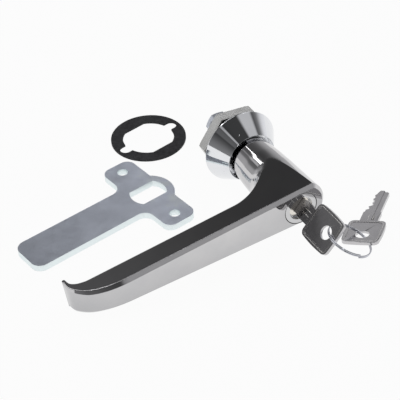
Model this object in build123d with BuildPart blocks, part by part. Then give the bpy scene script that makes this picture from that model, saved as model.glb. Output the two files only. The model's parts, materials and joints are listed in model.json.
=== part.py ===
from build123d import *
import os
from math import cos, sin, radians, sqrt

# Lockable swing handle for a door panel, lying on its side with its loose cam plate and gasket.
# Millimetres. The spindle axis is Y: the door's outside, with the key, is toward -Y and the inside toward +Y.
# The origin is where the spindle axis meets the collar's seat on the panel. Z is up.
# A "depth" is measured from the seat along -Y, toward the key. Depths inside the door are negative.

# ---- collar: the fixed flange with its threaded tail ----
rim_radius = 22.2
rim_thickness = 0.8
rim_chamfer = 0.35
collar_height = 13.5
mouth_radius = 14.4
mouth_lip = 0.3
mouth_floor_depth = 5.0
spindle_radius = 10.4
spindle_running_gap = 0.05
tail_radius = 15.0
tail_length = 12.0
tail_flat_distance = 13.4
lug_width = 6.4
lug_reach = 20.4
lug_height = 1.4

# ---- swing stops inside the collar's mouth, angles in degrees from +X toward +Z ----
swing_travel = 90.0
hub_lug_angle = 270.0
hub_lug_half_angle = 11.0
hub_lug_reach = 14.0
hub_lug_height = 2.2
stop_gap_angle = 0.4
stop_land_height = 3.6
stop_land_inner_radius = 12.85
raised_stop_start = 46.0
raised_stop_end = 102.0
raised_stop_height = 7.2

# ---- panel nut ----
nut_across_flats = 36.0
nut_thickness = 6.7
nut_gap = 3.5
nut_thread_gap = 0.05
nut_turned = -4.8
nut_corner_chamfer = 0.9

# ---- handle casting ----
lever_drop = 5.87
lever_reach = 130.75
lever_back_depth = 53.0
front_face_depth = 65.1
lever_half_width_at_hub = 11.6
lever_half_width_at_tip = 7.3
lever_draft = 0.085
lever_root_radius = 21.0
casting_half_width = 17.0
hub_end_depth = 6.0
hub_rear_radius = 12.0
hub_middle_radius = 13.7
hub_middle_depth = 26.0
hub_shoulder_radius = 14.3
hub_shoulder_depth = 37.0
hub_front_radius = 15.2
front_bevel = 1.8
back_edge_radius = 1.4
tip_lip_back_depth = 45.6
lip_rounding = 1.2
curl_length = 29.8
curl_rear_length = 11.5
curl_fullness = 2.25
tip_lip_thickness = 1.8

# ---- spindle end, cast in one with the handle ----
spindle_round_depth = -13.8
spindle_end_depth = -17.6
spindle_flat_distance = 6.6
clip_groove_depth = -12.15
clip_groove_width = 1.3
clip_groove_radius = 9.6
seal_groove_depth = 3.4
seal_groove_width = 2.0
seal_groove_radius = 8.75
seal_cord_radius = 0.74
screw_hole_end_depth = -1.0
screw_radius = 4.0
screw_hole_gap = 0.05

# ---- thrust washer, retaining ring and cam fastening ----
thrust_washer_thickness = 0.9
thrust_washer_outer_radius = 11.9
thrust_washer_gap = 0.3
retaining_ring_thickness = 1.2
retaining_ring_outer_radius = 12.7
retaining_ring_gap = 3.6
retaining_ear_radius = 2.3
cam_washer_radius = 10.6
cam_washer_thickness = 1.6
spring_washer_thickness = 2.0
spring_washer_outer_radius = 7.1
spring_washer_gap = 1.0
screw_head_across_flats = 13.0
screw_head_height = 5.3
screw_end_depth = -2.0

# ---- lock cylinder ----
cylinder_radius = 9.7
cylinder_gap = 0.06
cylinder_rear_depth = 33.4
cylinder_bore_end_depth = 31.0
plug_radius = 6.2
plug_running_gap = 0.05
plug_face_depth = 62.9
plug_rear_depth = 36.2
plug_recess_radius = 7.0
plug_tail_radius = 4.1
plug_tail_end_depth = 27.6
plug_tail_gap = 0.08
wafer_channel_radius = 8.0
wafer_channel_width = 6.6
wafer_count = 5
wafer_spacing = 4.4
first_wafer_depth = 58.0
wafer_thickness = 0.9
wafer_width = 5.8
wafer_slot_gap = 0.1
plug_clip_thickness = 0.8
plug_clip_depth = 33.3
plug_clip_outer_radius = 6.6
plug_clip_groove_radius = 3.5
housing_pin_radius = 1.5
housing_pin_depth = 50.0
housing_pin_inner = 8.4
housing_pin_outer = 12.4

# ---- locking bolt and its crank ----
tail_bore_radius = 5.4
tail_bore_end_depth = 7.05
tailpiece_side = 3.9
tailpiece_gap = 0.06
tailpiece_socket_depth = 7.0
crank_disc_radius = 4.9
crank_disc_thickness = 2.0
crank_radius = 2.8
crank_pin_radius = 0.9
crank_rest_angle = 83.0
crank_pin_side_gap = 0.2
bolt_angle = 218.0
bolt_depth = 7.2
bolt_thickness = 2.6
bolt_width = 5.8
bolt_offset = -2.4
bolt_tip_radius = 11.6
bolt_tail = -4.9
bolt_guide_gap = 0.12
bolt_notch_radius = 15.9

# ---- keys ----
key_turned = 40.0
key_offset = 0.7
key_shoulder_depth = 65.4
key_thickness = 2.0
blade_width = 8.6
blade_length = 24.5
blade_tip_length = 2.5
blade_tip_half_width = 0.9
first_cut = 3.7
cut_spacing = 4.3
cut_flat = 0.8
cut_depths = (1.6, 2.9, 2.7, 2.2, 2.3)
peak_rise = 0.8
peak_flat = 0.5
neck_width = 9.8
neck_length = 9.6
bow_length = 22.2
bow_width = 20.8
bow_side_bulge = 0.75
bow_corner_radius = 3.0
bow_rim_width = 1.7
bow_recess = 0.2
bow_hole_radius = 3.8
bow_hole_from_shoulder = 24.0
keyway_side_gap = 0.15
keyway_edge_gap = 0.2
keyway_end_depth = 37.4
blade_groove_width = 1.5
blade_groove_depth = 0.5
blade_groove_offset = -1.9

# ---- split ring and spare key, hanging from the first key ----
ring_radius = 12.35
ring_wire_radius = 0.38
ring_turn_pitch = 0.86
ring_turns = 2.0
ring_centre = (10.114, -96.319, -3.602)
ring_normal = (0.4189, -0.1432, 0.8967)
spare_shoulder = (38.357, -76.903, -12.039)
spare_blade_direction = (0.7357, 0.6564, -0.167)
spare_face_normal = (0.0069, 0.2392, 0.9709)

# ---- loose cam plate ----
cam_thickness = 4.0
cam_centre = (-54.3, 10.4)
cam_arm_angle = 190.4
cam_arm_half_width = 11.9
cam_arm_length = 82.7
cam_tip_radius = 6.0
cam_head_half_length = 32.2
cam_head_half_width = 10.0
cam_head_corner_radius = 5.5
cam_inner_corner_radius = 6.0
cam_boss_radius = 15.2
cam_hole_radius = 10.6
cam_hole_flat_distance = 6.8
rod_hole_radius = 3.05
rod_hole_spacing = 49.0

# ---- loose gasket ----
gasket_centre = (-29.0, 60.5)
gasket_angle = 12.3
gasket_radius = 22.6
gasket_thickness = 1.2
gasket_hole_radius = 15.4
gasket_flat_distance = 13.6
gasket_notch_wall = 1.7
gasket_notch_half_width = 3.5

# ---- positions that follow from the sizes ----
floor_height = -rim_radius
lever_angle = 180.0 + lever_drop
lever_direction = (-cos(radians(lever_drop)), 0.0, -sin(radians(lever_drop)))
lever_side_up = (-sin(radians(lever_drop)), 0.0, cos(radians(lever_drop)))
spindle_axis = Axis((0, 0, 0), (0, -1, 0))
collar_bore_radius = spindle_radius + spindle_running_gap
nut_front_depth = -nut_gap
nut_rear_depth = nut_front_depth - nut_thickness
washer_rear_depth = spindle_end_depth - cam_washer_thickness
head_front_depth = washer_rear_depth - spring_washer_thickness
plug_bore_radius = plug_radius + plug_running_gap
crank_disc_depth = bolt_depth + bolt_thickness + 0.45
bolt_direction = (cos(radians(bolt_angle)), 0.0, sin(radians(bolt_angle)))


def face_plane(depth, turn=0.0):
    """Plane across the spindle axis; unturned, sketch x is X and sketch y is Z. Extrusion goes toward the key."""
    return Plane(origin=(0, -depth, 0), x_dir=(cos(radians(turn)), 0, sin(radians(turn))), z_dir=(0, -1, 0))


# Plane through the spindle axis and the lever; sketch x runs out along the lever and sketch y is depth.
lever_plane = Plane(origin=(0, 0, 0), x_dir=lever_direction, z_dir=lever_side_up)

# Plane across the housing pin, which stands square to the lever on its underside.
pin_plane = Plane(
    origin=(-housing_pin_inner * lever_side_up[0], -housing_pin_depth, -housing_pin_inner * lever_side_up[2]),
    x_dir=lever_direction,
    z_dir=(-lever_side_up[0], 0, -lever_side_up[2]),
)

# Plane through the spindle axis and X; sketch x is the radius and sketch y is depth.
section_plane = Plane(origin=(0, 0, 0), x_dir=(1, 0, 0), z_dir=(0, 0, -1))


def polar(radius, angle):
    return (radius * cos(radians(angle)), radius * sin(radians(angle)))


def sector(inner_radius, outer_radius, start_angle, end_angle):
    """Ring sector between two radii and two angles."""
    sweep = end_angle - start_angle
    with BuildSketch(Plane.XY) as shape:
        with BuildLine():
            CenterArc((0, 0), outer_radius, start_angle, sweep)
            Line(polar(outer_radius, end_angle), polar(inner_radius, end_angle))
            CenterArc((0, 0), inner_radius, end_angle, -sweep)
            Line(polar(inner_radius, start_angle), polar(outer_radius, start_angle))
        make_face()
    return shape.sketch


def turned_ring(inner_radius, outer_radius, front_depth, rear_depth):
    """Washer-like ring about the spindle axis."""
    with BuildPart() as ring:
        with BuildSketch(face_plane(rear_depth)):
            Circle(outer_radius)
            Circle(inner_radius, mode=Mode.SUBTRACT)
        extrude(amount=front_depth - rear_depth)
    return ring.part


def snap_ring(shaft_radius, outer_radius, opening, ear_radius, front_depth, thickness, opening_angle):
    """Open retaining ring with two plier ears."""
    middle = (shaft_radius + outer_radius) / 2
    ear_shift = opening / 2 + ear_radius * 0.75
    with BuildPart() as ring:
        with BuildSketch(face_plane(front_depth - thickness, opening_angle)):
            Circle(outer_radius)
            with Locations((middle, ear_shift), (middle, -ear_shift)):
                Circle(ear_radius)
            Circle(shaft_radius, mode=Mode.SUBTRACT)
            with Locations((middle, 0)):
                Rectangle(4 * ear_radius, opening, mode=Mode.SUBTRACT)
            with Locations((middle, ear_shift), (middle, -ear_shift)):
                Circle(ear_radius * 0.4, mode=Mode.SUBTRACT)
        extrude(amount=thickness)
    return ring.part


# ================= collar =================
with BuildPart() as collar:
    # conical flange and tail, turned about the spindle axis
    with BuildSketch(section_plane):
        with BuildLine():
            Polyline(
                (mouth_radius + mouth_lip, collar_height),
                (mouth_radius, collar_height),
                (mouth_radius, mouth_floor_depth),
                (collar_bore_radius, mouth_floor_depth),
                (collar_bore_radius, -tail_length),
                (tail_radius, -tail_length),
                (tail_radius, 0),
                (rim_radius - rim_chamfer, 0),
                (rim_radius, rim_chamfer),
                (rim_radius, rim_thickness),
                (mouth_radius + mouth_lip, collar_height),
            )
        make_face()
    revolve(axis=spindle_axis)
    # flats that stop the tail from turning in the panel
    with BuildSketch(face_plane(-tail_length)):
        with Locations((0, tail_flat_distance + tail_radius / 2), (0, -tail_flat_distance - tail_radius / 2)):
            Rectangle(3 * tail_radius, tail_radius)
    extrude(amount=tail_length, mode=Mode.SUBTRACT)
    # lugs on the seat that enter the panel's two notches
    with BuildSketch(face_plane(-lug_height)):
        Circle(lug_reach)
        Circle(tail_radius - 0.5, mode=Mode.SUBTRACT)
        Rectangle(3 * rim_radius, lug_width, mode=Mode.INTERSECT)
    extrude(amount=lug_height + 0.01)
    # land with the two swing stops, and the raised stop in the mouth
    land_start = hub_lug_angle + hub_lug_half_angle + stop_gap_angle
    land_end = hub_lug_angle - swing_travel - hub_lug_half_angle - stop_gap_angle + 360
    with BuildSketch(face_plane(mouth_floor_depth)):
        add(sector(stop_land_inner_radius, mouth_radius + 0.05, land_start, land_end))
    extrude(amount=stop_land_height)
    with BuildSketch(face_plane(mouth_floor_depth)):
        add(sector(stop_land_inner_radius, mouth_radius + 0.05, raised_stop_start, raised_stop_end))
    extrude(amount=raised_stop_height)
    # notches for the locking bolt with the lever closed and open
    for notch_angle in (bolt_angle, bolt_angle - swing_travel):
        with BuildSketch(face_plane(bolt_depth - 0.2, notch_angle)):
            with Locations((bolt_notch_radius / 2, bolt_offset)):
                Rectangle(bolt_notch_radius, bolt_width + 0.5)
            Circle(stop_land_inner_radius - 0.1, mode=Mode.SUBTRACT)
        extrude(amount=bolt_thickness + 0.4, mode=Mode.SUBTRACT)
collar.part.label = "collar"

# ================= panel nut =================
nut_corner_radius = nut_across_flats / sqrt(3)
with BuildPart() as panel_nut:
    with BuildSketch(section_plane):
        with BuildLine():
            Polyline(
                (tail_radius + nut_thread_gap, nut_front_depth - 0.6),
                (tail_radius + nut_thread_gap + 0.6, nut_front_depth),
                (nut_corner_radius - nut_corner_chamfer, nut_front_depth),
                (nut_corner_radius, nut_front_depth - nut_corner_chamfer * 0.58),
                (nut_corner_radius, nut_rear_depth + nut_corner_chamfer * 0.58),
                (nut_corner_radius - nut_corner_chamfer, nut_rear_depth),
                (tail_radius + nut_thread_gap + 0.6, nut_rear_depth),
                (tail_radius + nut_thread_gap, nut_rear_depth + 0.6),
                close=True,
            )
        make_face()
    revolve(axis=spindle_axis)
    with BuildSketch(face_plane(nut_rear_depth, nut_turned)):
        RegularPolygon(nut_corner_radius, 6)
    extrude(amount=nut_thickness, mode=Mode.INTERSECT)
panel_nut.part.label = "panel_nut"

# ================= thrust washer =================
thrust_washer = turned_ring(
    collar_bore_radius + thrust_washer_gap,
    thrust_washer_outer_radius,
    mouth_floor_depth + thrust_washer_thickness,
    mouth_floor_depth,
)
thrust_washer.label = "thrust_washer"

# ================= handle: hub, lever and spindle in one casting =================
lever_end = lever_reach
lip_front_depth = tip_lip_back_depth + lip_rounding
lip_rear_depth = tip_lip_back_depth + lip_rounding * 0.75
curl_start = lever_end - curl_length
curl_height = front_face_depth - lip_front_depth
curl_rear_start = lever_end - tip_lip_thickness - curl_rear_length
curl_rear_height = lever_back_depth - lip_rear_depth


def curl_points(start, depth, length, height, fullness):
    """Points inside a quarter of a full ellipse, on the way from a straight face to the curled tip."""
    points = []
    for share in (0.3, 0.57, 0.78, 0.93):
        drop = 1 - (1 - share**fullness) ** (1 / fullness)
        points.append((start + share * length, depth - drop * height))
    return points


side_taper = (lever_half_width_at_hub - lever_half_width_at_tip) / lever_reach
flare_start = hub_shoulder_radius - 0.4
flare_depth = lever_back_depth - lever_root_radius
hidden_depth = front_face_depth - 2
flare_plane = Plane(
    origin=(0, 0, 0),
    x_dir=lever_side_up,
    z_dir=(-lever_direction[0], 0, -lever_direction[2]),
)
with BuildPart() as handle:
    # tapered hub
    with BuildSketch(lever_plane):
        with BuildLine():
            Polyline(
                (hub_front_radius, front_face_depth),
                (0, front_face_depth),
                (0, hub_end_depth),
                (hub_rear_radius, hub_end_depth),
                (hub_middle_radius, hub_middle_depth),
                (hub_shoulder_radius, hub_shoulder_depth),
                (hub_front_radius, front_face_depth),
            )
        make_face()
    revolve(axis=spindle_axis)
    # flare that carries the lever, turned with the hub but on the lever's side only
    with BuildSketch(flare_plane):
        with BuildLine():
            Line((0, flare_depth), (flare_start, flare_depth))
            CenterArc((flare_start + lever_root_radius, flare_depth), lever_root_radius, 180, -90)
            Line((flare_start + lever_root_radius, lever_back_depth), (flare_start + lever_root_radius, hidden_depth))
            Polyline((flare_start + lever_root_radius, hidden_depth), (0, hidden_depth), (0, flare_depth))
        make_face()
    revolve(axis=spindle_axis, revolution_arc=180)
    # lever bar with its curled tip
    with BuildSketch(lever_plane.offset(-casting_half_width)):
        with BuildLine():
            Line((0, front_face_depth), (curl_start, front_face_depth))
            Spline(
                (curl_start, front_face_depth),
                *curl_points(curl_start, front_face_depth, curl_length, curl_height, curl_fullness),
                (lever_end, lip_front_depth),
                tangents=((1, 0), (0.02, -1)),
            )
            ThreePointArc(
                (lever_end, lip_front_depth),
                (lever_end - tip_lip_thickness * 0.45, tip_lip_back_depth),
                (lever_end - tip_lip_thickness, lip_rear_depth),
            )
            Spline(
                (lever_end - tip_lip_thickness, lip_rear_depth),
                *reversed(curl_points(curl_rear_start, lever_back_depth, curl_rear_length, curl_rear_height, curl_fullness)),
                (curl_rear_start, lever_back_depth),
                tangents=((-0.25, 1), (-1, 0.02)),
            )
            Polyline((curl_rear_start, lever_back_depth), (0, lever_back_depth), (0, front_face_depth))
        make_face()
    extrude(amount=2 * casting_half_width)
    # drafted side faces, narrowing toward the tip and toward the front
    for side in (1, -1):
        flat_normal = (
            side * lever_side_up[0] + side_taper * lever_direction[0],
            -lever_draft,
            side * lever_side_up[2] + side_taper * lever_direction[2],
        )
        flat_point = (
            side * lever_half_width_at_hub * lever_side_up[0],
            -front_face_depth,
            side * lever_half_width_at_hub * lever_side_up[2],
        )
        split(bisect_by=Plane(origin=flat_point, z_dir=flat_normal), keep=Keep.BOTTOM)
    # bevel round the front face and down the curled tip
    front_edges = handle.edges().filter_by(lambda e: e.bounding_box().min.Y < 0.01 - front_face_depth)
    front_edges = front_edges.filter_by(lambda e: e.bounding_box().max.Y < -tip_lip_back_depth)
    cross_edges = front_edges.filter_by(lambda e: abs((e @ 0 - e @ 1).dot(Vector(*lever_direction))) < 0.01)
    hub_arc = front_edges.filter_by(GeomType.CIRCLE)
    bevel_edges = [e for e in front_edges if e not in cross_edges or e in hub_arc]
    chamfer(bevel_edges, front_bevel)
    # spindle with its double-D end
    with BuildSketch(face_plane(spindle_end_depth)):
        Circle(spindle_radius)
    extrude(amount=hub_end_depth + 1 - spindle_end_depth)
    with BuildSketch(face_plane(spindle_end_depth)):
        with Locations((0, spindle_flat_distance + spindle_radius / 2), (0, -spindle_flat_distance - spindle_radius / 2)):
            Rectangle(3 * spindle_radius, spindle_radius)
    extrude(amount=spindle_round_depth - spindle_end_depth, mode=Mode.SUBTRACT)
    # grooves for the retaining ring and for the seal
    with BuildSketch(face_plane(clip_groove_depth - clip_groove_width)):
        Circle(spindle_radius + 1)
        Circle(clip_groove_radius, mode=Mode.SUBTRACT)
    extrude(amount=clip_groove_width, mode=Mode.SUBTRACT)
    with BuildSketch(face_plane(seal_groove_depth - seal_groove_width)):
        Circle(spindle_radius + 1)
        Circle(seal_groove_radius, mode=Mode.SUBTRACT)
    extrude(amount=seal_groove_width, mode=Mode.SUBTRACT)
    # tapped hole for the cam screw
    with BuildSketch(face_plane(spindle_end_depth)):
        Circle(screw_radius + screw_hole_gap)
    extrude(amount=screw_hole_end_depth - spindle_end_depth, mode=Mode.SUBTRACT)
    # bores for the lock cylinder and for its tailpiece
    with BuildSketch(face_plane(cylinder_bore_end_depth)):
        Circle(cylinder_radius + cylinder_gap)
    extrude(amount=front_face_depth - cylinder_bore_end_depth + 1, mode=Mode.SUBTRACT)
    with BuildSketch(face_plane(tail_bore_end_depth)):
        Circle(tail_bore_radius)
    extrude(amount=cylinder_bore_end_depth - tail_bore_end_depth + 1, mode=Mode.SUBTRACT)
    # guide through the hub wall for the locking bolt
    with BuildSketch(face_plane(bolt_depth - bolt_guide_gap, bolt_angle)):
        guide_length = hub_shoulder_radius + 4 - bolt_tail
        with Locations((bolt_tail - 0.3 + guide_length / 2, bolt_offset)):
            Rectangle(guide_length, bolt_width + 2 * bolt_guide_gap)
    extrude(amount=bolt_thickness + 2 * bolt_guide_gap, mode=Mode.SUBTRACT)
    # stop lug at the hub's end
    with BuildSketch(face_plane(hub_end_depth + 0.2)):
        add(
            sector(
                hub_rear_radius - 1,
                hub_lug_reach,
                hub_lug_angle - hub_lug_half_angle,
                hub_lug_angle + hub_lug_half_angle,
            )
        )
    extrude(amount=hub_lug_height)
    # hole for the pin that holds the lock cylinder, drilled from the lever's underside
    with BuildSketch(pin_plane):
        Circle(housing_pin_radius)
    extrude(amount=hub_front_radius, mode=Mode.SUBTRACT)
handle.part.label = "handle"

# ================= spindle seal =================
with BuildPart() as spindle_seal:
    with BuildSketch(section_plane):
        with Locations((seal_groove_radius + seal_cord_radius + 0.05, seal_groove_depth - seal_groove_width / 2)):
            Rectangle(2 * seal_cord_radius, 2 * seal_cord_radius)
    revolve(axis=spindle_axis)
spindle_seal.part.label = "spindle_seal"

# ================= retaining ring =================
retaining_ring = snap_ring(
    clip_groove_radius + 0.05,
    retaining_ring_outer_radius,
    retaining_ring_gap,
    retaining_ear_radius,
    clip_groove_depth - 0.05,
    retaining_ring_thickness,
    90.0,
)
retaining_ring.label = "retaining_ring"

# ================= cam washer, spring washer and cam screw =================
cam_washer = turned_ring(screw_radius + 0.3, cam_washer_radius, spindle_end_depth, washer_rear_depth)
cam_washer.label = "cam_washer"

with BuildPart() as spring_washer:
    with BuildSketch(face_plane(head_front_depth)):
        Circle(spring_washer_outer_radius)
        Circle(screw_radius + 0.2, mode=Mode.SUBTRACT)
    extrude(amount=spring_washer_thickness)
    # slanted split
    split_plane = Plane(
        origin=(0, -head_front_depth - spring_washer_thickness / 2, spring_washer_outer_radius + 1),
        x_dir=(1, 0, 0),
        z_dir=(0, 0, 1),
    )
    with BuildSketch(split_plane):
        Rectangle(spring_washer_gap, 3 * spring_washer_thickness, rotation=30)
    extrude(amount=-(spring_washer_outer_radius - screw_radius + 1.5), mode=Mode.SUBTRACT)
spring_washer.part.label = "spring_washer"

head_rear_depth = head_front_depth - screw_head_height
with BuildPart() as cam_screw:
    head_corner_radius = screw_head_across_flats / sqrt(3)
    with BuildSketch(section_plane):
        with BuildLine():
            Polyline(
                (0, head_rear_depth),
                (head_corner_radius - 1.2, head_rear_depth),
                (head_corner_radius, head_rear_depth + 0.7),
                (head_corner_radius, head_front_depth),
                (0, head_front_depth),
                close=True,
            )
        make_face()
    revolve(axis=spindle_axis)
    with BuildSketch(face_plane(head_rear_depth)):
        RegularPolygon(head_corner_radius, 6)
    extrude(amount=screw_head_height, mode=Mode.INTERSECT)
    with BuildSketch(face_plane(head_front_depth)):
        Circle(screw_radius)
    extrude(amount=screw_end_depth - head_front_depth)
cam_screw.part.label = "cam_screw"

# ================= lock cylinder housing =================
with BuildPart() as cylinder_housing:
    with BuildSketch(face_plane(cylinder_rear_depth)):
        Circle(cylinder_radius)
    extrude(amount=front_face_depth - cylinder_rear_depth)
    face_rim = cylinder_housing.edges().group_by(Axis.Y)[0]
    chamfer(face_rim, 0.3)
    # plug bore, front recess and rear bore
    with BuildSketch(face_plane(plug_rear_depth - 0.15)):
        Circle(plug_bore_radius)
    extrude(amount=front_face_depth - plug_rear_depth + 1, mode=Mode.SUBTRACT)
    with BuildSketch(face_plane(plug_face_depth)):
        Circle(plug_recess_radius)
    extrude(amount=front_face_depth - plug_face_depth + 1, mode=Mode.SUBTRACT)
    with BuildSketch(face_plane(cylinder_rear_depth)):
        Circle(plug_tail_radius + plug_tail_gap)
    extrude(amount=plug_rear_depth - cylinder_rear_depth + 1, mode=Mode.SUBTRACT)
    # channels that the wafers spring into when the key is out
    with BuildSketch(face_plane(plug_rear_depth + 1.2, 90 - key_turned)):
        Rectangle(2 * wafer_channel_radius, wafer_channel_width)
    extrude(amount=first_wafer_depth + 1.5 - plug_rear_depth - 1.2, mode=Mode.SUBTRACT)
    # seat of the housing pin
    with BuildSketch(pin_plane):
        Circle(housing_pin_radius)
    extrude(amount=hub_front_radius, mode=Mode.SUBTRACT)
cylinder_housing.part.label = "cylinder_housing"

# ================= housing pin =================
with BuildPart() as housing_pin:
    with BuildSketch(pin_plane):
        Circle(housing_pin_radius)
    extrude(amount=housing_pin_outer - housing_pin_inner)
housing_pin.part.label = "housing_pin"

# ================= plug =================
key_face_turn = 90 - key_turned
with BuildPart() as plug:
    with BuildSketch(face_plane(plug_rear_depth)):
        Circle(plug_radius)
    extrude(amount=plug_face_depth - plug_rear_depth)
    with BuildSketch(face_plane(plug_tail_end_depth)):
        Circle(plug_tail_radius)
    extrude(amount=plug_rear_depth - plug_tail_end_depth)
    with BuildSketch(face_plane(plug_clip_depth - plug_clip_thickness - 0.15)):
        Circle(plug_tail_radius + 1)
        Circle(plug_clip_groove_radius, mode=Mode.SUBTRACT)
    extrude(amount=plug_clip_thickness + 0.2, mode=Mode.SUBTRACT)
    # square socket for the tailpiece
    with BuildSketch(face_plane(plug_tail_end_depth)):
        Rectangle(tailpiece_side + 2 * tailpiece_gap, tailpiece_side + 2 * tailpiece_gap)
    extrude(amount=tailpiece_socket_depth, mode=Mode.SUBTRACT)
    # keyway
    with BuildSketch(face_plane(keyway_end_depth, key_face_turn)):
        with Locations((key_offset, 0)):
            Rectangle(blade_width + 2 * keyway_edge_gap, key_thickness + 2 * keyway_side_gap)
    extrude(amount=plug_face_depth - keyway_end_depth + 1, mode=Mode.SUBTRACT)
    # slots for the wafers
    for wafer in range(wafer_count):
        slot_depth = first_wafer_depth - wafer * wafer_spacing - wafer_slot_gap
        with BuildSketch(face_plane(slot_depth, key_face_turn)):
            Rectangle(2 * plug_radius + 1, wafer_width + 2 * wafer_slot_gap)
        extrude(amount=wafer_thickness + 2 * wafer_slot_gap, mode=Mode.SUBTRACT)
plug.part.label = "plug"

# ================= wafers =================
with BuildPart() as wafers:
    for wafer in range(wafer_count):
        with BuildSketch(face_plane(first_wafer_depth - wafer * wafer_spacing, key_face_turn)):
            Circle(plug_radius - 0.1)
            Rectangle(2 * plug_radius, wafer_width, mode=Mode.INTERSECT)
            with Locations((key_offset, 0)):
                Rectangle(blade_width + 3 * keyway_edge_gap, key_thickness + 1, mode=Mode.SUBTRACT)
        extrude(amount=wafer_thickness)
wafers.part.label = "wafers"

# ================= plug clip =================
plug_clip = snap_ring(
    plug_clip_groove_radius + 0.05,
    plug_clip_outer_radius - 1.2,
    2.4,
    1.2,
    plug_clip_depth,
    plug_clip_thickness,
    0.0,
)
plug_clip.label = "plug_clip"

# ================= tailpiece with its crank =================
with BuildPart() as tailpiece:
    with BuildSketch(face_plane(crank_disc_depth)):
        Circle(crank_disc_radius)
    extrude(amount=crank_disc_thickness)
    with BuildSketch(face_plane(crank_disc_depth + crank_disc_thickness)):
        Rectangle(tailpiece_side, tailpiece_side)
    extrude(amount=plug_tail_end_depth + tailpiece_socket_depth - 0.3 - crank_disc_depth - crank_disc_thickness)
    with BuildSketch(face_plane(bolt_depth + 0.15)):
        with Locations(polar(crank_radius, crank_rest_angle)):
            Circle(crank_pin_radius)
    extrude(amount=crank_disc_depth - bolt_depth)
tailpiece.part.label = "tailpiece"

# ================= locking bolt =================
crank_pin_u = crank_radius * cos(radians(crank_rest_angle - bolt_angle))
crank_slot_half_width = crank_pin_radius + crank_pin_side_gap
crank_slot_low = -crank_radius - crank_slot_half_width
crank_slot_high = crank_radius * sin(radians(crank_rest_angle - bolt_angle)) + crank_slot_half_width
with BuildPart() as lock_bolt:
    with BuildSketch(face_plane(bolt_depth, bolt_angle)):
        bolt_length = bolt_tip_radius - bolt_tail
        with Locations((bolt_tail + bolt_length / 2, bolt_offset)):
            Rectangle(bolt_length, bolt_width)
        Circle(bolt_tip_radius, mode=Mode.INTERSECT)
        with Locations((crank_pin_u, (crank_slot_low + crank_slot_high) / 2)):
            Rectangle(2 * crank_slot_half_width, crank_slot_high - crank_slot_low, mode=Mode.SUBTRACT)
    extrude(amount=bolt_thickness)
lock_bolt.part.label = "lock_bolt"


# ================= keys =================
def cut_profile(half_blade):
    """Bottoms of the cuts and the peaks between them, from the shoulder to the tip."""
    points = [(first_cut - cut_spacing * 0.35, half_blade)]
    for cut, depth in enumerate(cut_depths):
        middle = first_cut + cut * cut_spacing
        points.append((middle - cut_flat / 2, half_blade - depth))
        points.append((middle + cut_flat / 2, half_blade - depth))
        if cut < len(cut_depths) - 1:
            peak = min(depth, cut_depths[cut + 1]) - peak_rise
            points.append((middle + cut_spacing / 2 - peak_flat / 2, half_blade - peak))
            points.append((middle + cut_spacing / 2 + peak_flat / 2, half_blade - peak))
    return points


def key_blank(shoulder_plane):
    """Flat key; sketch x runs from the shoulder to the blade's tip and sketch y is the cut side."""
    half_blade = blade_width / 2
    half_neck = neck_width / 2
    half_bow = bow_width / 2
    bow_middle = -neck_length - bow_length / 2
    with BuildPart() as blank:
        # blade with its cuts
        with BuildSketch(shoulder_plane.offset(-key_thickness / 2)):
            with BuildLine():
                Polyline(
                    (0, -half_blade),
                    (blade_length - blade_tip_length, -half_blade),
                    (blade_length, -blade_tip_half_width),
                    (blade_length, blade_tip_half_width),
                    *reversed(cut_profile(half_blade)),
                    (0, half_blade),
                    close=True,
                )
            make_face()
            # neck, running a little way into the blade and into the bow
            with Locations((-neck_length / 2 - 0.5, 0)):
                Rectangle(neck_length + 1, neck_width)
        extrude(amount=key_thickness)
        # bow with slightly bulging sides
        with BuildSketch(shoulder_plane.offset(-key_thickness / 2)):
            with BuildLine():
                side = half_bow - bow_side_bulge
                front = bow_middle + bow_length / 2
                back = bow_middle - bow_length / 2
                ThreePointArc((back, -side), (bow_middle, -half_bow), (front, -side))
                Line((front, -side), (front, side))
                ThreePointArc((front, side), (bow_middle, half_bow), (back, side))
                ThreePointArc((back, side), (back - bow_side_bulge * 0.6, 0), (back, -side))
            bow_face = make_face()
            fillet(bow_face.vertices(), bow_corner_radius)
        extrude(amount=key_thickness)
        # shallow panels inside the bow's rim, on both faces
        for face_offset in (-key_thickness / 2, key_thickness / 2 - bow_recess):
            with BuildSketch(shoulder_plane.offset(face_offset)):
                with Locations((bow_middle, 0)):
                    RectangleRounded(
                        bow_length - 2 * bow_rim_width,
                        bow_width - 2 * bow_rim_width - bow_side_bulge,
                        bow_corner_radius - 0.8,
                    )
            extrude(amount=bow_recess, mode=Mode.SUBTRACT)
        # hole for the ring
        with BuildSketch(shoulder_plane.offset(-key_thickness)):
            with Locations((-bow_hole_from_shoulder, 0)):
                Circle(bow_hole_radius)
        extrude(amount=2 * key_thickness, mode=Mode.SUBTRACT)
        # warding groove along the blade
        with BuildSketch(shoulder_plane.offset(key_thickness / 2 - blade_groove_depth)):
            with Locations(((blade_length - neck_length) / 2, blade_groove_offset)):
                Rectangle(blade_length + neck_length - 1, blade_groove_width)
        extrude(amount=blade_groove_depth, mode=Mode.SUBTRACT)
    return blank.part


key_plane = Plane(
    origin=(key_offset * sin(radians(key_turned)), -key_shoulder_depth, key_offset * cos(radians(key_turned))),
    x_dir=(0, 1, 0),
    z_dir=(cos(radians(key_turned)), 0, -sin(radians(key_turned))),
)
key = key_blank(key_plane)
key.label = "key"

spare_plane = Plane(origin=spare_shoulder, x_dir=spare_blade_direction, z_dir=spare_face_normal)
spare_key = key_blank(spare_plane)
spare_key.label = "spare_key"

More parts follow.
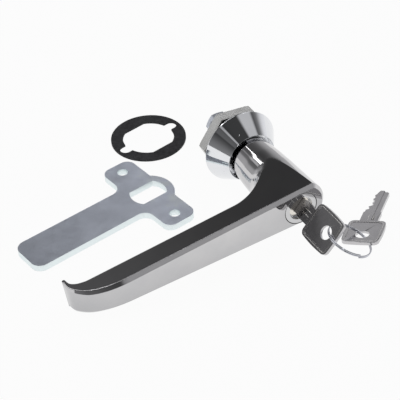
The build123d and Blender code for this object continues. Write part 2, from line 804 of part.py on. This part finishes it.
# ================= split ring =================
ring_plane = Plane(origin=ring_centre, x_dir=(-0.13, -0.99, 0.02), z_dir=ring_normal)
coil_height = ring_turn_pitch * ring_turns
flat_coil = Helix(pitch=ring_turn_pitch, height=coil_height, radius=ring_radius, center=(0, 0, -coil_height / 2))
with BuildPart() as split_ring:
    with BuildLine() as coil:
        add(ring_plane.location * flat_coil)
    with BuildSketch(Plane(origin=coil.line @ 0, x_dir=ring_normal, z_dir=coil.line % 0)):
        Rectangle(2 * ring_wire_radius, 2 * ring_wire_radius)
    sweep(is_frenet=True)
split_ring.part.label = "split_ring"

# ================= cam plate =================
cam_plane = Plane(
    origin=(cam_centre[0], cam_centre[1], floor_height),
    x_dir=(cos(radians(cam_arm_angle)), sin(radians(cam_arm_angle)), 0),
    z_dir=(0, 0, 1),
)
with BuildPart() as cam_plate:
    with BuildSketch(cam_plane):
        RectangleRounded(2 * cam_head_half_width, 2 * cam_head_half_length, cam_head_corner_radius)
        with Locations((cam_arm_length / 2, 0)):
            arm = Rectangle(cam_arm_length, 2 * cam_arm_half_width)
        Circle(cam_boss_radius)
    extrude(amount=cam_thickness)
    upright_edges = cam_plate.edges().filter_by(Axis.Z)
    tip_edges = upright_edges.filter_by(
        lambda e: cam_plane.to_local_coords(e.center()).X > cam_arm_length - 1
    )
    fillet(tip_edges, cam_tip_radius)
    inner_edges = cam_plate.edges().filter_by(Axis.Z).filter_by(
        lambda e: abs(cam_plane.to_local_coords(e.center()).Y) < cam_arm_half_width + 1
        and abs(cam_plane.to_local_coords(e.center()).X) < cam_head_half_width + 1
        and cam_plane.to_local_coords(e.center()).X > 0
    )
    fillet(inner_edges, cam_inner_corner_radius)
    # double-D hole for the spindle
    with BuildSketch(cam_plane):
        Circle(cam_hole_radius)
        Rectangle(3 * cam_hole_radius, 2 * cam_hole_flat_distance, mode=Mode.INTERSECT)
    extrude(amount=cam_thickness, mode=Mode.SUBTRACT)
    # holes for the rod ends
    with BuildSketch(cam_plane):
        with Locations((0, rod_hole_spacing / 2), (0, -rod_hole_spacing / 2)):
            Circle(rod_hole_radius)
    extrude(amount=cam_thickness, mode=Mode.SUBTRACT)
cam_plate.part.label = "cam_plate"

# ================= gasket =================
gasket_plane = Plane(
    origin=(gasket_centre[0], gasket_centre[1], floor_height),
    x_dir=(cos(radians(gasket_angle)), sin(radians(gasket_angle)), 0),
    z_dir=(0, 0, 1),
)
with BuildPart() as gasket:
    with BuildSketch(gasket_plane):
        Circle(gasket_radius)
    extrude(amount=gasket_thickness)
    with BuildSketch(gasket_plane):
        Circle(gasket_hole_radius)
        Rectangle(3 * gasket_hole_radius, 2 * gasket_flat_distance, mode=Mode.INTERSECT)
        SlotOverall(2 * (gasket_radius - gasket_notch_wall), 2 * gasket_notch_half_width)
    extrude(amount=gasket_thickness, mode=Mode.SUBTRACT)
gasket.part.label = "gasket"

# ================= write the parts =================
os.makedirs("parts", exist_ok=True)
finished = [
    collar.part,
    panel_nut.part,
    thrust_washer,
    handle.part,
    spindle_seal.part,
    retaining_ring,
    cam_washer,
    spring_washer.part,
    cam_screw.part,
    cylinder_housing.part,
    housing_pin.part,
    plug.part,
    wafers.part,
    plug_clip,
    tailpiece.part,
    lock_bolt.part,
    key,
    split_ring.part,
    spare_key,
    cam_plate.part,
    gasket.part,
]
for piece in finished:
    export_step(piece, "parts/" + piece.label + ".step")
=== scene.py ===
"""Lockable swing handle, loose cam plate and gasket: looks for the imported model."""
import bpy
import json
import math
from mathutils import Matrix, Vector


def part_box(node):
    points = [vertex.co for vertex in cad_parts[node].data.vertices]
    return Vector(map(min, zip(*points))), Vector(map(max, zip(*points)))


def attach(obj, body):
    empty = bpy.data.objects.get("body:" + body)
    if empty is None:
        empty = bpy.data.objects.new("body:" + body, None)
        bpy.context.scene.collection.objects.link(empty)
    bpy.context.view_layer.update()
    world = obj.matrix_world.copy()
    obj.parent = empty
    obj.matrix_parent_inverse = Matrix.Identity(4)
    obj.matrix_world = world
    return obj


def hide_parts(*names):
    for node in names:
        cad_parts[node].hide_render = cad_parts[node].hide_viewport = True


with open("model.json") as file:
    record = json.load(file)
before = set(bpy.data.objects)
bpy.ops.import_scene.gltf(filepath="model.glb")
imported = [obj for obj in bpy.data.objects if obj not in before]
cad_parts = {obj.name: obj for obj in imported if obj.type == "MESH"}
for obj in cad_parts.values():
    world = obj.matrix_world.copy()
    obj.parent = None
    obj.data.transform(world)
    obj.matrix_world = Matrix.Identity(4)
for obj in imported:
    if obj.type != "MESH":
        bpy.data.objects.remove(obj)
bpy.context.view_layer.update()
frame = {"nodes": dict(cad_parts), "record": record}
nodes = frame["nodes"]

MM = 0.001


# ---------------------------------------------------------------- node trees
class Graph:
    """A node tree, with short helpers that make its nodes and fill their inputs."""

    def __init__(self, tree):
        self.tree = tree

    def feed(self, socket, value):
        """Links another node's output, or sets a number, a direction or a colour."""
        if isinstance(value, bpy.types.NodeSocket):
            self.tree.links.new(value, socket)
        elif socket.type == "RGBA":
            socket.default_value = (*value, 1)
        else:
            socket.default_value = value

    def node(self, kind, inputs=None, **props):
        made = self.tree.nodes.new(kind)
        for key, value in props.items():
            setattr(made, key, value)
        for key, value in (inputs or {}).items():
            self.feed(made.inputs[key], value)
        return made

    def maths(self, kind, a, b=0):
        return self.node("ShaderNodeMath", {0: a, 1: b}, operation=kind).outputs[0]

    def span(self, value, low, high, out_low, out_high, curve="LINEAR"):
        """Carries low to high over to out_low to out_high, and stays at the ends beyond them."""
        inputs = {"Value": value, "From Min": low, "From Max": high, "To Min": out_low, "To Max": out_high}
        return self.node("ShaderNodeMapRange", inputs, interpolation_type=curve).outputs["Result"]

    def split(self, vector):
        """The three parts of a vector."""
        return self.node("ShaderNodeSeparateXYZ", {0: vector}).outputs


class Mat(Graph):
    """A material with a Principled shader, textured in the object's own coordinates."""

    def __init__(self, name, **inputs):
        self.mat = bpy.data.materials.new(name)
        self.mat.use_nodes = True
        super().__init__(self.mat.node_tree)
        self.shader = self.tree.nodes["Principled BSDF"]
        self.coord = self.node("ShaderNodeTexCoord").outputs["Object"]
        self.surface(**inputs)

    def surface(self, **inputs):
        """Fills the shader's inputs, whose names are written with _ for a space."""
        for key, value in inputs.items():
            self.feed(self.shader.inputs[key.replace("_", " ")], value)

    def scaled(self, x, y, z):
        """Object coordinates stretched along the axes, for brushing and drawing marks."""
        return self.node("ShaderNodeMapping", {"Vector": self.coord, "Scale": (x, y, z)}).outputs["Vector"]

    def noise(self, scale, detail=3.0, rough=0.55, vector=None):
        inputs = {"Scale": scale, "Detail": detail, "Roughness": rough, "Vector": vector or self.coord}
        return self.node("ShaderNodeTexNoise", inputs).outputs["Fac"]

    def blend(self, share, first, second, kind="MIX"):
        inputs = {"Factor": share, "A": first, "B": second}
        return self.node("ShaderNodeMix", inputs, data_type="RGBA", blend_type=kind).outputs["Result"]

    def bump(self, height, strength, distance, normal=None):
        inputs = {"Height": height, "Strength": strength, "Distance": distance}
        if normal:
            inputs["Normal"] = normal
        return self.node("ShaderNodeBump", inputs).outputs["Normal"]

    def edge(self, radius, bands=()):
        """Rounded normals at edges, over a wider reach in the given bands along Y."""
        reach = radius
        for centre, half_width, extra in bands:
            away = self.maths("ABSOLUTE", self.maths("SUBTRACT", self.split(self.coord)[1], centre))
            reach = self.maths("ADD", self.span(away, half_width / 2, half_width, extra, 0), reach)
        return self.node("ShaderNodeBevel", {"Radius": reach}, samples=8).outputs["Normal"]

    def shade(self, reach):
        """0 in tight corners, 1 in the open."""
        return self.node("ShaderNodeAmbientOcclusion", {"Distance": reach}, samples=8).outputs["AO"]


# ---------------------------------------------------------------- metals
# noise scales, per metre, of a plating's slow change of tone and of its worn patches
DRIFT = 70
PATCHES = 180


def plate_with_painted_light(m, tone, low_x, high_x):
    """A flat plate's tone with painted light that grows lighter along X, and a pale painted reflection on
    its side faces all round.
    """
    # painted light: the tone is scaled from dark at low X to light at high X
    dark, light = 0.72, 1.2
    side_painted_reflection_tone = (0.84, 0.91, 0.92)
    painted_light_tone = m.blend(1.0, tone, m.span(m.split(m.coord)[0], low_x, high_x, dark, light), "MULTIPLY")
    # the side faces, whose normals lie near level, take the pale painted reflection
    normal = m.node("ShaderNodeTexCoord").outputs["Normal"]
    face = m.span(m.maths("ABSOLUTE", m.split(normal)[2]), 0.4, 0.8, 0, 1)
    return m.blend(face, side_painted_reflection_tone, painted_light_tone)


def metal(
    name, first, second, rough, grain, wave, wave_height=0.02 * MM, grain_height=0.01 * MM, bump=0.15,
    stretch=None, edge=0.0, bands=(), corner=0.0, painted_shade_tone=(0.04, 0.04, 0.035), plate_ends=None,
):
    """Plated metal: slow colour drift, patchy roughness, faint casting waves and fine grain.

    grain and wave are noise scales per metre, and stretch draws the grain out along an axis. corner is
    how far painted shade reaches from nearby surfaces into the tone, and plate_ends are the lowest and
    highest X of a plate, along which light is painted, with a painted reflection on its side faces.
    """
    m = Mat(name, Metallic=1.0)
    tone = m.blend(m.span(m.noise(DRIFT, 4), 0.3, 0.7, 0, 1), first, second)
    # painted light along the plate and a painted reflection on its side faces
    if plate_ends:
        tone = plate_with_painted_light(m, tone, *plate_ends)
    # painted shade: the tone darkens where nearby surfaces close it in
    if corner:
        tone = m.blend(m.span(m.shade(corner), 0.45, 0.95, 1, 0), tone, painted_shade_tone)
    fine = m.noise(grain, 3, vector=m.scaled(*stretch) if stretch else None)
    worn = m.maths("MULTIPLY", fine, m.noise(PATCHES, 5, 0.6))
    slow = m.bump(m.noise(wave, 2), bump, wave_height, m.edge(edge, bands) if edge else None)
    m.surface(
        Base_Color=tone,
        Roughness=m.span(worn, 0.12, 0.42, *rough),
        Normal=m.bump(fine, bump, grain_height, slow),
    )
    return m.mat


# bands along Y where the handle's edges look rounder: centre, half width, extra reach of the rounding
round_bands = ((-26 * MM, 4.5 * MM, 3 * MM), (-37 * MM, 4.5 * MM, 3 * MM))
# the chrome's corner reach paints shade on the handle, darker toward the floor and near other parts
chrome = metal(
    "chrome", (0.62, 0.612, 0.615), (0.565, 0.56, 0.57), (0.03, 0.06), 1500, 45,
    wave_height=0.010 * MM, grain_height=0.002 * MM, bump=0.03, edge=0.4 * MM, bands=round_bands,
    corner=35 * MM, painted_shade_tone=(0.44, 0.44, 0.45),
)
face_chrome = metal(
    "face_chrome", (0.62, 0.62, 0.625), (0.56, 0.56, 0.565), (0.05, 0.09), 1800, 90,
    wave_height=0.004 * MM, grain_height=0.002 * MM, bump=0.03,
)
# the nut's corner reach paints shade where it sits close to other parts, such as the collar
nut_zinc = metal(
    "nut_zinc", (0.86, 0.86, 0.85), (0.74, 0.74, 0.72), (0.42, 0.58), 1400, 160,
    wave_height=0.06 * MM, bump=0.25, stretch=(1, 0.12, 1), corner=6 * MM,
)
bright_zinc = metal("bright_zinc", (0.82, 0.85, 0.92), (0.74, 0.78, 0.86), (0.30, 0.44), 1400, 160)
spring_steel = metal(
    "spring_steel", (0.66, 0.67, 0.71), (0.54, 0.55, 0.59), (0.08, 0.18), 1600, 160,
    wave_height=0.010 * MM, bump=0.05,
)
key_nickel = metal(
    "key_nickel", (0.60, 0.59, 0.60), (0.52, 0.51, 0.52), (0.18, 0.26), 1500, 120,
    wave_height=0.005 * MM, bump=0.05,
)
plug_nickel = metal(
    "plug_nickel", (0.82, 0.78, 0.71), (0.70, 0.67, 0.62), (0.16, 0.26), 1600, 120,
    wave_height=0.004 * MM, grain_height=0.002 * MM, bump=0.03,
)
brass = metal("brass", (0.80, 0.62, 0.30), (0.66, 0.50, 0.24), (0.24, 0.40), 1600, 120)
cam_zinc = metal(
    "cam_zinc", (0.78, 0.825, 0.925), (0.66, 0.70, 0.79), (0.40, 0.52), 1300, 90,
    wave_height=0.03 * MM, bump=0.25,
    plate_ends=(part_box("cam_plate")[0].x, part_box("cam_plate")[1].x),
)
# a lighter copy of the key's nickel: a painted highlight along the bow beads and neck ridges, which are
# real relief
bead_nickel_painted_highlight = metal(
    "bead_nickel_painted_highlight", (0.80, 0.785, 0.76), (0.66, 0.65, 0.63), (0.25, 0.40), 1500, 120,
    wave_height=0.005 * MM, bump=0.05,
)


def threaded_chrome(name, thread_radius, pitch, depth):
    """The collar's chrome, with the tail's screw thread as relief behind the seat."""
    m = Mat(name, Metallic=1.0)
    tone = m.blend(m.span(m.noise(DRIFT, 4), 0.3, 0.7, 0, 1), (0.80, 0.81, 0.83), (0.74, 0.75, 0.77))
    worn = m.noise(PATCHES, 5, 0.6)
    x, y, z = m.split(m.coord)
    phase = m.maths("ADD", m.maths("MULTIPLY", y, 2 * math.pi / pitch), m.maths("ARCTAN2", z, x))
    wave = m.maths("MULTIPLY", m.maths("ADD", m.maths("SINE", phase), 1.0), 0.5)
    radius = m.maths("SQRT", m.maths("ADD", m.maths("MULTIPLY", x, x), m.maths("MULTIPLY", z, z)))
    margin = 0.3 * MM
    outside = m.maths("GREATER_THAN", radius, thread_radius - margin)
    within = m.maths("LESS_THAN", radius, thread_radius + margin)
    behind = m.maths("GREATER_THAN", y, 0.0)
    mask = m.maths("MULTIPLY", m.maths("MULTIPLY", outside, within), behind)
    thread = m.bump(m.maths("MULTIPLY", wave, mask), 1.0, depth, m.edge(0.3 * MM))
    casting = m.noise(90, 2)
    m.surface(
        Base_Color=tone,
        Roughness=m.span(worn, 0.3, 0.7, 0.03, 0.08),
        Normal=m.bump(casting, 0.03, 0.01 * MM, thread),
    )
    return m.mat


collar_chrome = threaded_chrome("collar_chrome", thread_radius=15.0 * MM, pitch=1.5 * MM, depth=0.5 * MM)


# ---------------------------------------------------------------- rubbers and plastic
def rubber(name, dark, light, bump):
    """Matt moulded rubber: small pale spots, a patchy sheen and a fine grain."""
    m = Mat(name)
    spots = m.noise(420, 6, 0.65)
    sheen = m.noise(160, 4)
    grain = m.noise(1500, 4)
    m.surface(
        Base_Color=m.blend(m.span(spots, 0.35, 0.7, 0, 1), dark, light),
        Roughness=m.span(sheen, 0.3, 0.7, 0.6, 0.85),
        Normal=m.bump(grain, bump, 0.04 * MM),
    )
    return m.mat


gasket_rubber = rubber("gasket_rubber", (0.016, 0.016, 0.018), (0.042, 0.043, 0.047), 0.5)
seal_rubber = rubber("seal_rubber", (0.012, 0.012, 0.012), (0.025, 0.025, 0.025), 0.2)

acetal = Mat("acetal", Roughness=0.45)
acetal.surface(
    Base_Color=acetal.blend(acetal.noise(300), (0.78, 0.78, 0.75), (0.86, 0.86, 0.84)),
    Normal=acetal.bump(acetal.noise(900), 0.2, 0.02 * MM),
)

# painted shade: a near-black finish for the ring in the lock seam
painted_seam_shade = Mat("painted_seam_shade", Roughness=0.7)
painted_seam_shade.surface(
    Base_Color=painted_seam_shade.blend(painted_seam_shade.noise(900), (0.01, 0.01, 0.01), (0.05, 0.045, 0.04))
)

finish_of = {
    "collar": collar_chrome,
    "panel_nut": nut_zinc,
    "thrust_washer": acetal.mat,
    "handle": chrome,
    "spindle_seal": seal_rubber,
    "retaining_ring": spring_steel,
    "cam_washer": bright_zinc,
    "spring_washer": bright_zinc,
    "cam_screw": bright_zinc,
    "cylinder_housing": face_chrome,
    "housing_pin": spring_steel,
    "plug": plug_nickel,
    "wafers": brass,
    "plug_clip": spring_steel,
    "tailpiece": bright_zinc,
    "lock_bolt": bright_zinc,
    "key": key_nickel,
    "split_ring": spring_steel,
    "spare_key": key_nickel,
    "cam_plate": cam_zinc,
    "gasket": gasket_rubber,
}
for name, obj in nodes.items():
    obj.data.materials.clear()
    obj.data.materials.append(finish_of[name])


# ---------------------------------------------------------------- softened edges of the solids
def soften(name, width, segments, angle):
    """Rounds a node's sharp edges with modifiers, which leave its own mesh as it came."""
    obj = nodes[name]
    weld = obj.modifiers.new("weld", "WELD")
    weld.merge_threshold = 0.005 * MM
    bevel = obj.modifiers.new("bevel", "BEVEL")
    bevel.width = width
    bevel.segments = segments
    bevel.limit_method = "ANGLE"
    bevel.angle_limit = math.radians(angle)
    bevel.harden_normals = True


for name, width, segments, angle in (
    ("cylinder_housing", 0.15 * MM, 2, 30),
    ("plug", 0.15 * MM, 2, 30),
    ("key", 0.22 * MM, 2, 30),
    ("spare_key", 0.22 * MM, 2, 30),
    ("cam_plate", 0.35 * MM, 3, 30),
    ("panel_nut", 0.25 * MM, 2, 25),
):
    soften(name, width, segments, angle)


# ---------------------------------------------------------------- pieces made here
def mesh_piece(name, vertices, faces, material, body, smooth=True):
    """A mesh object that moves with a body."""
    mesh = bpy.data.meshes.new(name)
    mesh.from_pydata([tuple(v) for v in vertices], [], faces)
    mesh.update()
    for face in mesh.polygons:
        face.use_smooth = smooth
    mesh.materials.append(material)
    piece = bpy.data.objects.new(name, mesh)
    bpy.context.collection.objects.link(piece)
    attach(piece, body)
    return piece


def tube(name, points, radius, material, body, closed=False, sides=10):
    """A round wire along the points, its rings kept square to the path."""
    count = len(points)
    vertices, faces = [], []
    side = None
    for k, point in enumerate(points):
        before = points[k - 1] if k or closed else point
        after = points[(k + 1) % count] if k < count - 1 or closed else point
        along = (after - before).normalized()
        if side is None:
            side = along.orthogonal().normalized()
        side = (side - along * side.dot(along)).normalized()
        other = along.cross(side)
        for c in range(sides):
            angle = 2 * math.pi * c / sides
            vertices.append(point + radius * (math.cos(angle) * side + math.sin(angle) * other))
    rings = count if closed else count - 1
    for k in range(rings):
        a, b = k * sides, ((k + 1) % count) * sides
        for c in range(sides):
            d = (c + 1) % sides
            faces.append((a + c, a + d, b + d, b + c))
    if not closed:
        faces.append(tuple(reversed(range(sides))))
        faces.append(tuple(range((count - 1) * sides, count * sides)))
    return mesh_piece(name, vertices, faces, material, body)


def square_ring(name, inner, outer, front, back, material, body, sides=96):
    """A flat ring of square section about the spindle axis."""
    points, faces = [], []
    for k in range(sides):
        angle = 2 * math.pi * k / sides
        for radius, y in ((inner, back), (inner, front), (outer, front), (outer, back)):
            points.append((radius * math.cos(angle), y, radius * math.sin(angle)))
        here, there = 4 * k, 4 * ((k + 1) % sides)
        for c in range(4):
            d = (c + 1) % 4
            faces.append((here + c, here + d, there + d, there + c))
    return mesh_piece(name, points, faces, material, body, smooth=False)


def coil(centre, axis, start, radius, pitch, turns, steps=96):
    """Points of a helix about an axis, half of it on each side of the centre."""
    start = (start - axis * start.dot(axis)).normalized()
    side = axis.cross(start)
    path = []
    for k in range(turns * steps + 1):
        angle = 2 * math.pi * k / steps
        rise = pitch * (k / steps - turns / 2)
        path.append(centre + radius * (math.cos(angle) * start + math.sin(angle) * side) + rise * axis)
    return path


# split ring: two turns of round wire, with its ends toward the front
ring_mount = next(m for m in frame["record"]["mounts"] if m["name"] == "key_ring_eye")
wire_path = coil(
    centre=Vector(ring_mount["pos_m"]),
    axis=Vector(ring_mount["axis"]).normalized(),
    start=Vector((-0.13, -0.99, 0.02)),
    radius=12.35 * MM,
    pitch=0.86 * MM,
    turns=2,
)
wire = tube("split_ring_wire", wire_path, 0.40 * MM, spring_steel, "ring_body")
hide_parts("split_ring")


def bow_outline():
    """Where a bow's rim bead runs, measured from its ring hole along the blade and across it."""
    half_width, to_neck, to_end, corner = 9.0 * MM, 13.4 * MM, 6.9 * MM, 2.4 * MM
    outline = []
    for u, v, start in (
        (to_neck - corner, half_width - corner, 0),
        (corner - to_end, half_width - corner, 90),
        (corner - to_end, corner - half_width, 180),
        (to_neck - corner, corner - half_width, 270),
    ):
        for degrees in range(start, start + 91, 15):
            angle = math.radians(degrees)
            outline.append((u + corner * math.cos(angle), v + corner * math.sin(angle)))
    return outline


def bow_relief(name, hole, face_normal, blade, body):
    """The rim bead of a key's bow and two ridges on its neck, on both faces of the key."""
    across = face_normal.cross(blade)
    bead_lift, bead_radius = 0.78 * MM, 0.28 * MM
    ridge_lift, ridge_radius = 0.86 * MM, 0.26 * MM
    ridge_along = (15.5 * MM, 18.0 * MM, 20.5 * MM)
    ridge_across = (-1.7 * MM, 0.9 * MM)
    for label, side in (("front", 1), ("back", -1)):
        bead_base = hole + side * bead_lift * face_normal
        rim = [bead_base + u * blade + v * across for u, v in bow_outline()]
        tube(f"{name}_{label}_bead", rim, bead_radius, bead_nickel_painted_highlight, body, closed=True, sides=8)
        ridge_base = hole + side * ridge_lift * face_normal
        for number, v in enumerate(ridge_across):
            ridge = [ridge_base + u * blade + v * across for u in ridge_along]
            tube(f"{name}_{label}_neck_ridge_{number}", ridge, ridge_radius, bead_nickel_painted_highlight, body, sides=8)


joint_of = {joint["name"]: joint for joint in frame["record"]["behaviour"]["joints"]}
for name, joint, blade, body in (
    ("key", "ring_swing", Vector((0.0, 1.0, 0.0)), "key_body"),
    ("spare_key", "spare_key_swing", Vector((0.7357, 0.6564, -0.167)).normalized(), "spare_key_body"),
):
    facts = joint_of[joint]
    bow_relief(name, Vector(facts["pos_m"]), Vector(facts["axis"]).normalized(), blade, body)

# painted shade: a fine dark ring standing in for the shadow in the gap round the lock cylinder's face
lock_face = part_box("cylinder_housing")[0].y
square_ring(
    "lock_seam_painted_shade",
    inner=9.66 * MM,
    outer=9.92 * MM,
    front=lock_face - 0.01 * MM,
    back=lock_face + 0.05 * MM,
    material=painted_seam_shade.mat,
    body="handle_body",
)

# ---------------------------------------------------------------- floor
# white where the camera or a reflection sees it, and plain pale paper for everything else
floor_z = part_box("gasket")[0].z
floor_mesh = bpy.data.meshes.new("floor")
half_side = 12.0
floor_corners = [(x * half_side, y * half_side, floor_z) for x, y in ((-1, -1), (1, -1), (1, 1), (-1, 1))]
floor_mesh.from_pydata(floor_corners, [], [(0, 1, 2, 3)])
floor = bpy.data.objects.new("floor", floor_mesh)
bpy.context.collection.objects.link(floor)
paper = Mat("paper", Base_Color=(0.86, 0.86, 0.86), Roughness=0.9)
glow = paper.node("ShaderNodeEmission", {"Color": (1, 1, 1)})
rays = paper.node("ShaderNodeLightPath").outputs
seen = rays["Is Camera Ray"]
for ray in ("Is Glossy Ray", "Is Transmission Ray"):
    seen = paper.maths("MAXIMUM", seen, rays[ray])
glow_share = paper.maths("MULTIPLY", seen, 0.95)
mixed = paper.node(
    "ShaderNodeMixShader", {"Fac": glow_share, 1: paper.shader.outputs["BSDF"], 2: glow.outputs["Emission"]}
)
paper.feed(paper.tree.nodes["Material Output"].inputs["Surface"], mixed.outputs["Shader"])
floor.data.materials.append(paper.mat)

# ---------------------------------------------------------------- world: a dim room with a few pale panels
world = bpy.data.worlds.new("studio")
bpy.context.scene.world = world
world.use_nodes = True
sky = Graph(world.node_tree)
sky.tree.nodes.clear()
direction = sky.node("ShaderNodeTexCoord").outputs["Generated"]


def panel(toward, inner, outer, strength):
    """A pale round panel on the room's wall: full inside one angle, gone past the other, in degrees."""
    inputs = {0: direction, 1: Vector(toward).normalized()}
    facing = sky.node("ShaderNodeVectorMath", inputs, operation="DOT_PRODUCT").outputs["Value"]
    rim, core = math.cos(math.radians(outer)), math.cos(math.radians(inner))
    return sky.span(facing, rim, core, 0, strength, "SMOOTHSTEP")


# palest from the horizon down and dim overhead, and half as bright toward the left
room = sky.span(sky.split(direction)[2], 0.0, 0.75, 0.45, 0.05, "SMOOTHSTEP")
left_wall = sky.span(sky.split(direction)[0], -0.75, -0.25, 0.5, 1.0, "SMOOTHSTEP")
light = sky.maths("MULTIPLY", room, left_wall)
for toward, inner, outer, strength in (
    ((0.0, 0.08, 1.0), 9, 13, 1.5),
    ((0.60, 0.30, 0.74), 12, 17, 1.5),
    ((0.55, -0.14, 0.82), 12, 22, 0.50),
    ((-0.53, -0.28, 0.79), 1, 4, 0.42),
    ((-0.68, -0.28, 0.67), 4, 9, 0.09),
    ((1.0, 0.20, -0.10), 6, 34, 0.45),
    ((0.75, 0.62, 0.20), 5, 28, 0.12),
    ((-0.52, 0.84, 0.10), 9, 15, 0.26),
    ((-0.38, 0.76, 0.52), 2, 5, 0.45),
    ((0.30, -0.74, 0.60), 13, 18, 0.37),
    ((-0.25, 0.50, 0.83), 10, 26, 0.08),
    ((0.25, 0.94, 0.22), 6, 20, 0.26),
):
    light = sky.maths("ADD", light, panel(toward, inner, outer, strength))
# the light is a trace bluer than grey
tint = sky.node("ShaderNodeCombineColor", {0: light, 1: light, 2: sky.maths("MULTIPLY", light, 1.02)})
backdrop = sky.node("ShaderNodeBackground", {"Color": tint.outputs[0]})
sky.node("ShaderNodeOutputWorld", {"Surface": backdrop.outputs[0]})


# ---------------------------------------------------------------- lamps
def softbox(name, location, size, power, shape="RECTANGLE"):
    """An area lamp that points at the origin. Size is width and height in metres, power is in watts."""
    data = bpy.data.lights.new(name, "AREA")
    data.shape = shape
    data.size, data.size_y = size
    data.energy = power
    lamp = bpy.data.objects.new(name, data)
    bpy.context.collection.objects.link(lamp)
    lamp.location = location
    lamp.rotation_mode = "QUATERNION"
    lamp.rotation_quaternion = (-Vector(location)).to_track_quat("-Z", "Y")


softbox("top_box", (-0.50, 0.42, 1.27), (0.88, 0.88), 3.6, "DISK")
softbox("front_box", (-0.75, -0.95, 1.0), (0.2, 0.2), 1)
softbox("strip_box", (-0.417, 1.156, 0.982), (0.54, 0.10), 0.75)

# ---------------------------------------------------------------- camera
place = Vector((-0.274302, -0.494317, 0.427708))
right = Vector((0.876916, -0.478691, -0.043277))
up = Vector((0.334538, 0.543222, 0.770061))
forward = Vector((0.345113, 0.689757, -0.636501))
camera_data = bpy.data.cameras.new("camera")
camera_data.sensor_width = 36.0
camera_data.lens = 112.5
camera_data.clip_start = 0.01
camera_data.clip_end = 20.0
camera = bpy.data.objects.new("camera", camera_data)
bpy.context.collection.objects.link(camera)
turn = Matrix((right, up, -forward)).transposed()
camera.matrix_world = Matrix.Translation(place) @ turn.to_4x4()
bpy.context.scene.camera = camera
bpy.context.scene.view_settings.view_transform = "Standard"
